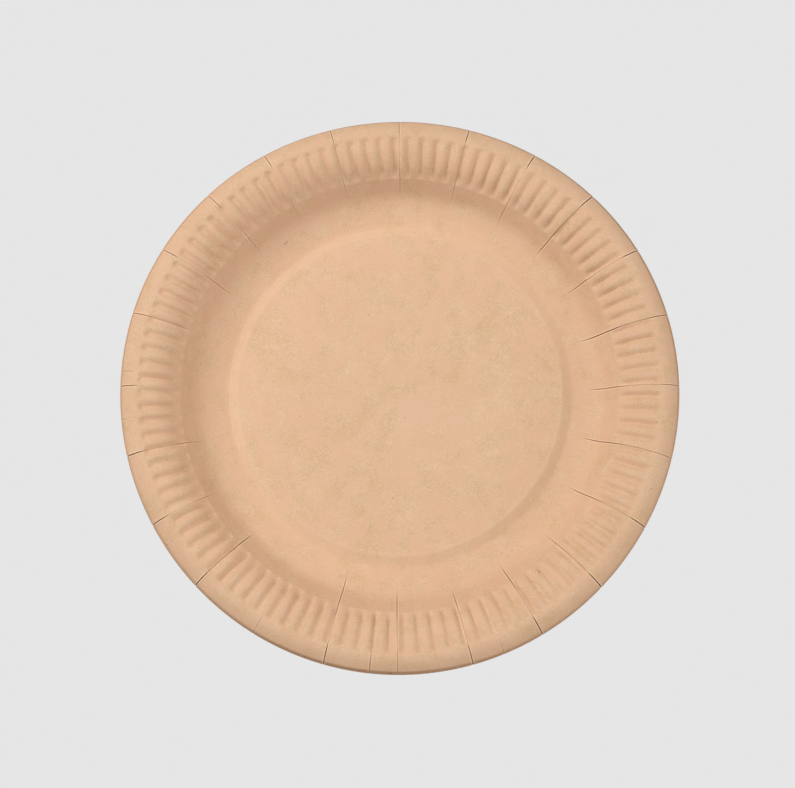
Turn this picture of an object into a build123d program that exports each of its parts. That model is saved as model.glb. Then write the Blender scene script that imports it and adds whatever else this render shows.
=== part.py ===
from build123d import *
import os
from math import asin, atan2, cos, degrees, hypot, radians, sin, tan

# Paper plate, 23 cm across: one sheet of kraft board, pressed hot between two dies.
# Millimetres. The origin is at the middle of the underside, on the surface it rests on.
# Points are (radius, height), and heights are measured from the upper skin of the base.

# Sheet
board = 0.5
plate_diameter = 230

# Base: a raised disc in the middle, a sloping step down, and the flat ring it rests on
disc_diameter = 136
step_diameter = 145
disc_rise = 0.9
base_diameter = 161.5

# Wall: a bend up from the base, then a straight run to a narrow ledge
foot_bend = 8
foot_runs = 2
ledge_diameter = 180.6
ledge_height = 9.1
ledge_width = 0.9

# Fluted band: from the ledge it curves over to a nearly flat crown
flute_count = 108
flute_depth = 0.8
band_runs = 3
crown_height = 17.5
crown_slope = 2

# Lip: a small step up from the flutes' crests, a flat top, a smooth slope and a turned down edge
lip_diameter = 216
lip_step = 0.25
lip_top = 1.2
lip_fall = 1.2
edge_width = 1.8
edge_drop = 0.7

# Creases: scored lines where the board gathers as it is drawn up into the wall
crease_count = 24
crease_width = 0.5
crease_depth = 0.25

# The three rings of the sheet share this much of the flat ledge and of the lip's flat top
joint_overlap = 0.25


def moved(point, slope, amount):
    """A point moved square to a line that rises outward at a slope in degrees."""
    return (point[0] - amount * sin(radians(slope)), point[1] + amount * cos(radians(slope)))


def curve(start, radius, slopes, runs):
    """The corners of an arc in even straight runs, as the slope goes from one value to another."""
    first, last = slopes
    turn = 1 if last > first else -1
    middle = moved(start, first, turn * radius)
    return [
        moved(middle, first + (last - first) * i / runs, -turn * radius)
        for i in range(runs + 1)
    ]


def slopes_of(line):
    """The slope in degrees of each straight run of a line."""
    return [degrees(atan2(z_1 - z_0, x_1 - x_0)) for (x_0, z_0), (x_1, z_1) in zip(line, line[1:])]


def beside(line, amount):
    """A line at a distance from another, above it where the amount is positive, with mitred corners."""
    slopes = slopes_of(line)
    return [
        moved(point, (before + after) / 2, amount / cos(radians(after - before) / 2))
        for point, before, after in zip(line, slopes[:1] + slopes, slopes + slopes[-1:])
    ]


def strip(plane, upper, lower):
    """The closed outline between two lines that run the same way."""
    with BuildSketch(plane) as outline:
        with BuildLine():
            Polyline(*upper, *reversed(lower), close=True)
        make_face()
    return outline.sketch


def radial_plane(angle, aside=0):
    """The upright plane along a radius, where x is the radius and y the height of the skin."""
    outward = Vector(cos(radians(angle)), sin(radians(angle)), 0)
    square = Vector(outward.Y, -outward.X, 0)
    return Plane(origin=square * aside + Vector(0, 0, board), x_dir=outward, z_dir=square)


# The wall leaves the bend at the slope that takes it to the ledge
base_edge = (base_diameter / 2, 0)
wall_top = (ledge_diameter / 2, ledge_height)
across, up = wall_top[0] - base_edge[0], wall_top[1] - foot_bend
wall_slope = degrees(atan2(up, across) + asin(foot_bend / hypot(across, up)))
foot = curve(base_edge, foot_bend, (0, wall_slope), foot_runs)

# The band leaves the ledge at the slope from which one arc reaches the crown
band_foot = (wall_top[0] + ledge_width, ledge_height)
across, up = lip_diameter / 2 - band_foot[0], crown_height - band_foot[1]
band_slope = 2 * degrees(atan2(up, across)) - crown_slope
band_bend = hypot(across, up) / 2 / sin(radians(band_slope - crown_slope) / 2)
band = curve(band_foot, band_bend, (band_slope, crown_slope), band_runs)

# The lip starts over the outer end of the crown
lip_start = lip_diameter / 2
lip_height = crown_height + flute_depth / 2 + lip_step
rim = plate_diameter / 2
lip_line = [
    (lip_start + lip_top, lip_height),
    (rim - edge_width, lip_height - lip_fall),
    (rim, lip_height - lip_fall - edge_drop),
]


def flute_rise(angle):
    """How far the band stands over its mean line: highest on a flute's crest, lowest in a valley."""
    pitch = 360 / flute_count
    from_crest = abs((angle + pitch / 2) % pitch - pitch / 2)
    return flute_depth * (0.5 - 2 * from_crest / pitch)


def band_line(angle):
    """The upper skin from the ledge over the flutes to the foot of the lip's step."""
    rise = flute_rise(angle)
    line = [(x, z + rise) for x, z in band]
    start = line[0][0] - rise / tan(radians(slopes_of(line)[0]))
    return [(start, ledge_height)] + line[1:]


def creases(skin):
    """Cutters for the grooves along a line of the upper skin, one for each crease."""
    over = beside(skin, 3 * crease_depth)
    side, middle = beside(skin, crease_depth), beside(skin, -crease_depth)
    for crease in range(crease_count):
        angle = crease * 360 / crease_count
        sections = [
            strip(radial_plane(angle, -crease_width), over, side),
            strip(radial_plane(angle), over, middle),
            strip(radial_plane(angle, crease_width), over, side),
        ]
        loft(sections, ruled=True, mode=Mode.SUBTRACT)


# Bowl: disc, step, base and wall, up to the flat ledge
ledge_joint = wall_top[0] + ledge_width / 4
with BuildPart() as bowl:
    skin = [(0, disc_rise), (disc_diameter / 2, disc_rise), (step_diameter / 2, 0), *foot, wall_top]
    skin.append((ledge_joint + joint_overlap, ledge_height))
    add(strip(radial_plane(0), skin, beside(skin, -board)))
    revolve(axis=Axis.Z)
    creases([*foot, wall_top])

# Lip: a flat top, a smooth slope and a turned down edge
lip_joint = lip_start + lip_top / 2
with BuildPart() as lip:
    skin = [(lip_joint - joint_overlap, lip_height), *lip_line]
    add(strip(radial_plane(0), skin, beside(skin, -board)))
    revolve(axis=Axis.Z)
    creases([skin[0], *lip_line])

# Fluted band: ruled from crest to valley and on to the next crest, all the way round
with BuildPart() as fluted_band:
    sections = []
    for half_flute in range(2 * flute_count):
        angle = half_flute * 180 / flute_count
        skin = [(ledge_joint, ledge_height), *band_line(angle), (lip_start, lip_height)]
        skin.append((lip_joint, lip_height))
        sections.append(strip(radial_plane(angle), skin, beside(skin, -board)))
    loft(sections + sections[:1], ruled=True, clean=False)

# The plate: one sheet, with the band running into the ledge and into the lip
with BuildPart() as plate:
    add([bowl.part, fluted_band.part, lip.part])

os.makedirs("parts", exist_ok=True)
plate.part.label = "plate"
export_step(plate.part, "parts/plate.step")
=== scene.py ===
from math import atan2, cos, pi, radians, sin

import bmesh
import bpy
from mathutils import Matrix, Vector, noise


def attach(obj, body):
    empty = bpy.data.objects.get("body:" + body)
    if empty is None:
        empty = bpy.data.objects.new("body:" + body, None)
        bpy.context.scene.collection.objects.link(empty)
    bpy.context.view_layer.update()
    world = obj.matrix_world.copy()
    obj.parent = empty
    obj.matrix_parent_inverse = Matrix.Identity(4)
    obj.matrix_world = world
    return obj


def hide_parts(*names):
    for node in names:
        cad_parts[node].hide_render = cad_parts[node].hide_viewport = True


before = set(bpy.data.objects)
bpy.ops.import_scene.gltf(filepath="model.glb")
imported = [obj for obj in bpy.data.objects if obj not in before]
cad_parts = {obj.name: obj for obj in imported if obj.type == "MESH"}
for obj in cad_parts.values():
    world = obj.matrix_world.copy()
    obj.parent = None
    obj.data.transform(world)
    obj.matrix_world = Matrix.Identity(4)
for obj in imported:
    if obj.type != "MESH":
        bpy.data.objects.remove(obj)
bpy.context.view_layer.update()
mm = 0.001

# The plate is one round sheet of kraft board, half a millimetre thick, pressed hot between
# two dies. The dies raise the disc in the middle, draw up the wall and roll the lip over.
# Corners of the upper skin: radius, height over the base, length of the bend, its segments.
# The crown has close rows, so that the flutes can end round on it.
board = 0.5
disc_radius, disc_height, step_radius = 68.2, 2.4, 72.2
foot, wall_foot = (78.6, 0), (85.2, 2.95)
flutes_foot = (90.6, 10.3)
band_corner, band_bend = (97.5, 17.7), 6
crown_end, crown_height = 107, 18
lip_height, plate_radius = 18.1, 115
corners = [
    (0, disc_height, 0, 0),
    (34, disc_height, 0, 0),
    (disc_radius, disc_height, 0.8, 2),
    (step_radius, 0, 0.8, 2),
    (*foot, 5, 4),
    (*wall_foot, 3, 5),
    (*flutes_foot, 0.5, 2),
    (flutes_foot[0] + 1.1, flutes_foot[1] + 1.18, 0, 0),
    (*band_corner, band_bend, 8),
    (crown_end - 1.9, crown_height, 0, 0),
    (crown_end - 1.3, crown_height + 0.02, 0, 0),
    (crown_end - 0.7, crown_height + 0.04, 0, 0),
    (crown_end - 0.1, crown_height + 0.06, 0, 0),
    (crown_end + 0.5, lip_height, 0, 0),
    (crown_end + 2.1, lip_height - 0.05, 1.4, 4),
    (plate_radius - 1.5, lip_height - 2.1, 0.4, 2),
    (plate_radius, lip_height - 4.8, 0, 0),
]

sheet = bmesh.new()
line = [sheet.verts.new((radius, 0, height + board)) for radius, height, _, _ in corners]
for inner, outer in zip(line, line[1:]):
    sheet.edges.new((inner, outer))
for vertex, (_, _, bend, segments) in zip(line, corners):
    if bend:
        bmesh.ops.bevel(
            sheet, geom=[vertex], affect="VERTICES", offset=bend, offset_type="OFFSET",
            segments=segments, profile=0.5, material=-1,
        )

# Twenty-four creases take up the board's spare width as the wall is drawn up, and a few
# short ones do so in the lip alone. Measured one by one: place beside the even 15 degree
# place at the edge and at the wall, how far in it runs, and how open it is on lip and wall.
creases = [
    (0, 0.81, 1.32, 79, 0.45, 0.5), (15, 0.79, 1.32, 79, 0.6, 0.65),
    (30, 0.46, 1.06, 82, 0.7, 0.5), (45, 0.12, 0.72, 82, 0.9, 0.5),
    (60, 0.1, 0.3, 82, 0.8, 0.3), (75, 0.1, 0.11, 84, 0.6, 0.3),
    (90, 0.31, -0.1, 84, 0.35, 0.3), (105, 0.01, 0.11, 86, 0.45, 0.3),
    (120, 0.1, -0.3, 86, 0.5, 0.2), (135, -0.55, -0.56, 84, 0.5, 0.35),
    (150, -0.76, -0.5, 82, 0.6, 0.35), (165, -1.26, -1.24, 90, 0.6, 0.35),
    (176.8, 0, 0, 107, 0.3, 0), (180, -0.1, 0.1, 100, 0.6, 0.2), (186.9, 0, 0, 110, 0.3, 0),
    (195, -0.82, -0.89, 84, 1, 0.4), (210, -0.61, -0.47, 86, 0.8, 0.3),
    (214.8, 0, 0, 109, 0.25, 0), (225, -0.47, -0.37, 84, 1, 0.75),
    (240, -0.4, -0.1, 100, 0.25, 0.1), (255, 0.28, -0.55, 78, 0.7, 0.5),
    (264.4, 0, 0, 103, 0.4, 0.2), (270, 0.16, -0.5, 82, 0.3, 0.4),
    (285, 0.2, 0.06, 84, 0.6, 0.45), (291.6, 0, 0, 109, 0.3, 0),
    (300, 0.25, 0.24, 82, 0.9, 0.5), (315, 0.45, 0.63, 84, 0.85, 0.45),
    (330, 0.4, 0.88, 80, 0.75, 0.55), (345, 0.7, 1.36, 78, 0.4, 0.55),
]
# Creases run straight from straight_until outward. The mesh has close columns beside each
# crease, which keep these distances from it, in mm, from close_until outward.
wall_radius, straight_until, close_until = 85, 77, 60
crease_sides = [0, 0.15, 0.36, 0.7]
columns_per_degree, fewest_columns = 2.7, 8
columns = []
for number, crease in enumerate(creases):
    gap = (creases[(number + 1) % len(creases)][0] - crease[0]) % 360
    count = max(fewest_columns, round(gap * columns_per_degree))
    columns += [(number, step, count) for step in range(count)]

bmesh.ops.spin(
    sheet, geom=sheet.verts[:] + sheet.edges[:], cent=(0, 0, 0), axis=(0, 0, 1), angle=2 * pi,
    steps=len(columns), use_merge=True, use_duplicate=False,
)
bmesh.ops.remove_doubles(sheet, verts=sheet.verts[:], dist=0.001)
bmesh.ops.recalc_face_normals(sheet, faces=sheet.faces[:])
if sum(face.normal.z for face in sheet.faces) < 0:
    bmesh.ops.reverse_faces(sheet, faces=sheet.faces[:])


def crease_angle(number, radius):
    """Where a crease lies at a radius, in radians: straight, but not quite from the centre."""
    even, at_edge, at_wall, _, _, _ = creases[number % len(creases)]
    turn = 2 * pi * (number // len(creases))
    radius = max(radius, straight_until)
    share = (radius - wall_radius) / (plate_radius - wall_radius)
    return radians(even) + turn + (at_wall + (at_edge - at_wall) * share) / radius


def column_angle(column, radius):
    """The angle of a column of the mesh: columns crowd together beside each crease."""
    number, step, count = columns[column]
    near = max(radius, close_until)
    start, end = crease_angle(number, radius), crease_angle(number + 1, radius)
    last = len(crease_sides) - 1
    if step <= last:
        return start + crease_sides[step] / near
    if step >= count - last:
        return end - crease_sides[count - step] / near
    start, end = start + crease_sides[last] / near, end - crease_sides[last] / near
    return start + (end - start) * (step - last) / (count - 2 * last)


column_layer = sheet.verts.layers.int.new("column")
painted_shade_layer = sheet.verts.layers.float.new("crease")
for vertex in sheet.verts:
    radius = vertex.co.xy.length
    if radius > 1:
        turn = atan2(vertex.co.y, vertex.co.x) / (2 * pi)
        column = round(turn * len(columns)) % len(columns)
        angle = column_angle(column, radius)
        vertex.co.xy = radius * cos(angle), radius * sin(angle)
        vertex[column_layer] = column

# The flutes are 108 rounded waves pressed into the band between the wall and the lip, and
# they stiffen the rim. They fade out at both ends, and no two are pressed equally deep.
flute_count, flute_depth, flute_turn = 108, 1.25, radians(-0.33)
flute_start, flute_full, flute_fade, flute_end = 90.4, 92.6, 105.3, 107.1
valley_narrowing, valley_shade = 0.25, 0.04
flute_unevenness, uneven_turns = 0.35, 14


def eased(value, start, end):
    """Rises smoothly from 0 at the start to 1 at the end."""
    share = min(1, max(0, (value - start) / (end - start)))
    return share * share * (3 - 2 * share)


sheet.normal_update()
moves = []
for vertex in sheet.verts:
    radius = vertex.co.xy.length
    reach = eased(radius, flute_start, flute_full) * (1 - eased(radius, flute_fade, flute_end))
    if reach:
        phase = (atan2(vertex.co.y, vertex.co.x) - flute_turn) * flute_count
        wave = cos(phase) - valley_narrowing * cos(2 * phase) - (1 - valley_narrowing)
        around = Vector((*vertex.co.xy.normalized() * uneven_turns, 3))
        uneven = 1 + flute_unevenness * noise.noise(around)
        moves.append((vertex, vertex.normal * (flute_depth / 2 * wave * reach * uneven)))
        # Painted shade in the flute valleys, kept in the crease attribute.
        vertex[painted_shade_layer] = valley_shade * eased(-wave, 1, 2) * reach
for vertex, move in moves:
    vertex.co += move

# Pressed board springs back a little once it is out of the dies, so nothing is quite flat
# or quite round: the rim is drawn in at three places, and the base has faint swellings.
# What lies on the table stays flat, and the sheet is free from a little above it.
out_of_round, out_of_round_turn, out_of_round_mean = 0.4, radians(27), 1.15
round_until, free_height = 60, 0.7
swelling_depth, swelling_size = 0.1, 24
sag_depth, sag_size = 0.12, 45
for vertex in sheet.verts:
    radius = vertex.co.xy.length
    turn = atan2(vertex.co.y, vertex.co.x)
    weight = eased(radius, round_until, plate_radius)
    swing = cos(3 * (turn - out_of_round_turn))
    drawn_in = out_of_round * (out_of_round_mean - swing) * weight
    if radius > 1:
        vertex.co.xy *= 1 - drawn_in / radius
    swelling = swelling_depth * (1 + noise.noise(Vector((*vertex.co.xy / swelling_size, 7))))
    sag = sag_depth * (1 + noise.noise(Vector((*vertex.co.xy / sag_size, 11)))) * weight
    lifted = eased(vertex.co.z, board, board + free_height)
    vertex.co.z -= (swelling * (1 - weight) + sag) * lifted

upper = set(sheet.verts)
bmesh.ops.solidify(sheet, geom=sheet.faces[:], thickness=board)

# Each crease is cut into the upper skin alone. On one side of its middle the board dips as
# a groove, on the other it laps up a little, and both get painted shade in the cut and a
# painted highlight beside it. The flutes press a crease partly shut: it closes and opens again
# at these radii.
groove_depth = 0.42
groove = {0: -1, 1: -0.5, 2: 0.15, 3: 0}
lapped = {0: -1, 1: -0.2, 2: 0.4, 3: 0.1}
# Painted shade in each crease's cut and a painted highlight beside it: above 0 is shade, below
# 0 is highlight.
shade = {0: 1, 1: 0.8, 2: -0.6, 3: 0}
pressed_shut, closes, opens = 0.55, (91, 96), (105, 108)


def crease_depth(number, radius):
    """How open a crease is at a radius, from 0 to 1. It opens slowly at its inner end."""
    _, _, _, reach, on_lip, on_wall = creases[number]
    along = on_wall + (on_lip - on_wall) * eased(radius, crown_end - 1, crown_end + 1)
    left = 1 - pressed_shut * eased(radius, *closes) * (1 - eased(radius, *opens))
    return along * left * eased(radius, reach - 1, reach + 5)


sheet.normal_update()
for vertex in sheet.verts:
    radius = vertex.co.xy.length
    number, step, count = columns[vertex[column_layer]]
    profile = lapped
    if step > count / 2:
        number, step, profile = (number + 1) % len(creases), count - step, groove
    if vertex in upper and step in groove and radius > foot[0]:
        openness = crease_depth(number, radius)
        vertex.co += vertex.normal * profile[step] * groove_depth * openness
        # The crease attribute carries this painted shade and painted highlight.
        vertex[painted_shade_layer] = shade[step] * openness

sharp_angle = radians(50)
bmesh.ops.scale(sheet, vec=(mm, mm, mm), verts=sheet.verts[:])
for face in sheet.faces:
    face.smooth = True
mesh = bpy.data.meshes.new("pressed_plate")
sheet.to_mesh(mesh)
sheet.free()
mesh.set_sharp_from_angle(angle=sharp_angle)
plate = bpy.data.objects.new("pressed_plate", mesh)
bpy.context.scene.collection.objects.link(plate)
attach(plate, "root")
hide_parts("plate")

# Kraft board is brown wood fibre, pressed smooth and left uncoated. Its tone clouds slightly
# from patch to patch, with short fibres, a fine grain and a few dark specks. Creases and flute
# valleys get painted shade, and creases a painted highlight beside them. The board is a little
# darker from the step outward and more on the lip, the cut edge gets painted shade, and the
# step round the disc is paler.
kraft = (0.735, 0.482, 0.300, 1)
kraft_pale = (0.80, 0.560, 0.385, 1)
kraft_deep = (0.60, 0.370, 0.185, 1)
kraft_pink = (0.757, 0.470, 0.306, 1)
# A darker brown, used on the cut edge as painted shade.
darker_brown_and_edge_shade = (0.56, 0.310, 0.165, 1)
# Colours of the painted shade in the creases and of the painted highlight beside them.
crease_shade_brown = (0.30, 0.120, 0.040, 1)
crease_highlight_pale = (0.90, 0.680, 0.480, 1)
speck_brown = (0.16, 0.085, 0.050, 1)
fibre_length, fibre_width = 2.6 * mm, 0.42 * mm
fibre_turns = (12, 57, 101, 148)
marks = [
    (-49.2, 64.1, 0.3), (-48.7, 64.6, 0.34), (-48.2, 65.1, 0.26), (-2.3, -44.4, 0.3),
    (56.4, -74.4, 0.34), (-2.8, -114.2, 0.4), (-37, -108.1, 0.35), (-61.3, -96.5, 0.4),
]


class Tone:
    """A number that varies over the board. Working with it adds the Math nodes."""

    def __init__(self, finish, socket):
        self.finish, self.socket = finish, socket

    def maths(self, operation, first, second):
        return self.finish.node("Math", {"operation": operation}, {0: first, 1: second})

    def __add__(self, other):
        return self.maths("ADD", self, other)

    def __sub__(self, other):
        return self.maths("SUBTRACT", self, other)

    def __rsub__(self, other):
        return self.maths("SUBTRACT", other, self)

    def __mul__(self, other):
        return self.maths("MULTIPLY", self, other)

    __radd__, __rmul__ = __add__, __mul__


class Finish:
    """A material whose nodes are made one by one, each with its settings and its inputs."""

    def __init__(self, name):
        self.material = bpy.data.materials.new(name)
        self.material.use_nodes = True
        self.tree = self.material.node_tree
        self.tree.nodes.clear()

    def node(self, kind, settings, inputs, output=0):
        made = self.tree.nodes.new("ShaderNode" + kind)
        for name, setting in settings.items():
            setattr(made, name, setting)
        for name, value in inputs.items():
            if isinstance(value, Tone):
                self.tree.links.new(value.socket, made.inputs[name])
            else:
                made.inputs[name].default_value = value
        return Tone(self, made.outputs[output]) if made.outputs else None


def between(finish, share, first, second):
    """A colour part of the way from one to another."""
    a_colour, b_colour, colour = 6, 7, 2
    inputs = {0: share, a_colour: first, b_colour: second}
    return finish.node("Mix", {"data_type": "RGBA"}, inputs, colour)


def ramp(finish, value, start, end):
    """0 below the start and 1 above the end, and smooth between them."""
    inputs = {"Value": value, "From Min": start, "From Max": end}
    return finish.node("MapRange", {"interpolation_type": "SMOOTHSTEP"}, inputs)


def grain(finish, place, size, detail, roughness=0.5):
    """Cloudy noise whose patches are about as wide as the size."""
    inputs = {"Vector": place, "Scale": 1 / size, "Detail": detail, "Roughness": roughness}
    return finish.node("TexNoise", {}, inputs)


board_finish = Finish("kraft_board")
place = board_finish.node("TexCoord", {}, {}, 3)
clouds = grain(board_finish, place, 26 * mm, 3)
patches = grain(board_finish, place, 5 * mm, 3, 0.6)
fine = grain(board_finish, place, 0.6 * mm, 2)
blush = grain(board_finish, place, 9 * mm, 4, 0.6)
fibres = 0
for turn in fibre_turns:
    lie = board_finish.node(
        "Mapping", {},
        {"Vector": place, "Rotation": (0, 0, radians(turn)),
         "Scale": (1 / fibre_length, 1 / fibre_width, 1 / fibre_length)},
    )
    strokes = board_finish.node("TexNoise", {}, {"Vector": lie, "Scale": 1, "Detail": 1})
    fibres = ramp(board_finish, strokes, 0.64, 0.74) + fibres
specks = board_finish.node("TexVoronoi", {}, {"Vector": place, "Scale": 1 / (7 * mm)})
lone = grain(board_finish, place, 11 * mm, 0)
speck = (1 - ramp(board_finish, specks, 0.02, 0.045)) * ramp(board_finish, lone, 0.56, 0.6)
flat_place = board_finish.node("Mapping", {}, {"Vector": place, "Scale": (1, 1, 0)})
for x, y, size in marks:
    inputs = {0: flat_place, 1: (x * mm, y * mm, 0)}
    away = board_finish.node("VectorMath", {"operation": "DISTANCE"}, inputs, 1)
    speck = speck + (1 - ramp(board_finish, away, 0.5 * size * mm, 1.2 * size * mm))
radius = board_finish.node("VectorMath", {"operation": "LENGTH"}, {0: flat_place}, 1)
# A little darker from the step outward and more on the lip, with strong painted shade on the
# cut edge.
darker_outward_and_edge_shade = (
    ramp(board_finish, radius, 71 * mm, 74 * mm) * 0.1
    + ramp(board_finish, radius, 109 * mm, 113 * mm) * 0.15
    + ramp(board_finish, radius, 113.4 * mm, 113.8 * mm) * 0.75
)
# The step round the disc is made paler.
paler_step_ring = (
    ramp(board_finish, radius, 66.5 * mm, 68.5 * mm)
    - ramp(board_finish, radius, 71.2 * mm, 72.2 * mm)
)
# The crease attribute: painted shade in creases and flute valleys, and below 0 a painted
# highlight beside the creases.
painted_shade_and_highlight = board_finish.node("Attribute", {"attribute_name": "crease"}, {}, 2)

# Each layer goes over those before it: how much of it shows, and its colour.
tone = clouds * 0.18 + patches * 0.32 + fine * 0.5
layers = [
    (ramp(board_finish, tone, 0.34, 0.66), kraft_pale),
    (0.38, kraft),
    (ramp(board_finish, blush, 0.4, 0.6) * 0.68, kraft_pink),
    (darker_outward_and_edge_shade, darker_brown_and_edge_shade),
    (paler_step_ring * 0.27, kraft_pale),
    (fibres * 0.3, kraft_pale),
    (speck * 0.75, speck_brown),
    # Painted shade in creases and flute valleys, then a painted highlight beside the creases.
    (painted_shade_and_highlight * 1.6, crease_shade_brown),
    (painted_shade_and_highlight * -2.5, crease_highlight_pale),
]
colour = kraft_deep
for share, layer in layers:
    colour = between(board_finish, share, colour, layer)
height = fine * 0.5 + fibres * 0.5 + patches * 0.5
bump = board_finish.node(
    "Bump", {}, {"Strength": 0.35, "Distance": 0.06 * mm, "Height": height}
)
shader = board_finish.node(
    "BsdfPrincipled", {},
    {"Base Color": colour, "Roughness": 0.74 + patches * 0.12, "Specular IOR Level": 0.3,
     "Normal": bump},
)
board_finish.node("OutputMaterial", {}, {"Surface": shader})
plate.data.materials.append(board_finish.material)

# The floor is a pale lit table, of the kind used for plain product pictures.
floor_grey = 0.79
surface = bmesh.new()
bmesh.ops.create_grid(surface, x_segments=1, y_segments=1, size=3)
floor_mesh = bpy.data.meshes.new("floor")
surface.to_mesh(floor_mesh)
surface.free()
floor = bpy.data.objects.new("floor", floor_mesh)
bpy.context.scene.collection.objects.link(floor)
table = Finish("lit_table")
glow = table.node("Emission", {}, {"Color": (floor_grey, floor_grey, floor_grey, 1)})
table.node("OutputMaterial", {}, {"Surface": glow})
floor.data.materials.append(table.material)

# The camera stands almost straight over the plate, as in the photograph.
aim_height, focal_length = 14.3 * mm, 54.49
tilt, stand, roll = radians(8.67), radians(-85.1), radians(0.24)
distance, aside, above = 492.5 * mm, -0.55 * mm, -2.6 * mm
back = Vector((sin(tilt) * cos(stand), sin(tilt) * sin(stand), cos(tilt)))
level = (Vector((0, 1, 0)) - back * back.y).normalized()
right = level.cross(back)
right, level = right * cos(roll) + level * sin(roll), level * cos(roll) - right * sin(roll)
lens = bpy.data.cameras.new("camera")
lens.lens = focal_length
camera = bpy.data.objects.new("camera", lens)
camera.matrix_world = Matrix.Translation(
    Vector((0, 0, aim_height)) + back * distance + right * aside + level * above
) @ Matrix((right, level, back)).transposed().to_4x4()
bpy.context.scene.collection.objects.link(camera)
bpy.context.scene.camera = camera

# Light: a wide soft lamp overhead, two lower ones at the upper left and a low one at the
# right, all of them far larger than the plate. The lit table gives the rest.
# Each has its name, direction and lift in degrees, width in metres and power in watts.
lamps = [
    ("overhead", 0, 90, 0.8, 11.4),
    ("key", 150, 32, 0.6, 5.9),
    ("high_key", 150, 45, 0.8, 2.9),
    ("fill", 345, 22, 0.6, 3.9),
]
lamp_distance = 1.3
room_grey, room_strength = (0.5, 0.5, 0.5, 1), 0.03
for name, stand_at, lift, size, watts in lamps:
    lamp = bpy.data.lights.new(name, "AREA")
    lamp.shape, lamp.size, lamp.energy = "DISK", size, watts
    lamp_object = bpy.data.objects.new(name, lamp)
    stand_at, lift = radians(stand_at), radians(lift)
    towards = Vector((cos(stand_at) * cos(lift), sin(stand_at) * cos(lift), sin(lift)))
    lamp_object.location = towards * lamp_distance
    lamp_object.rotation_euler = towards.to_track_quat("Z", "Y").to_euler()
    bpy.context.scene.collection.objects.link(lamp_object)
room = bpy.data.worlds.new("room")
room.use_nodes = True
room.node_tree.nodes["Background"].inputs["Color"].default_value = room_grey
room.node_tree.nodes["Background"].inputs["Strength"].default_value = room_strength
bpy.context.scene.world = room
bpy.context.scene.view_settings.view_transform = "Standard"
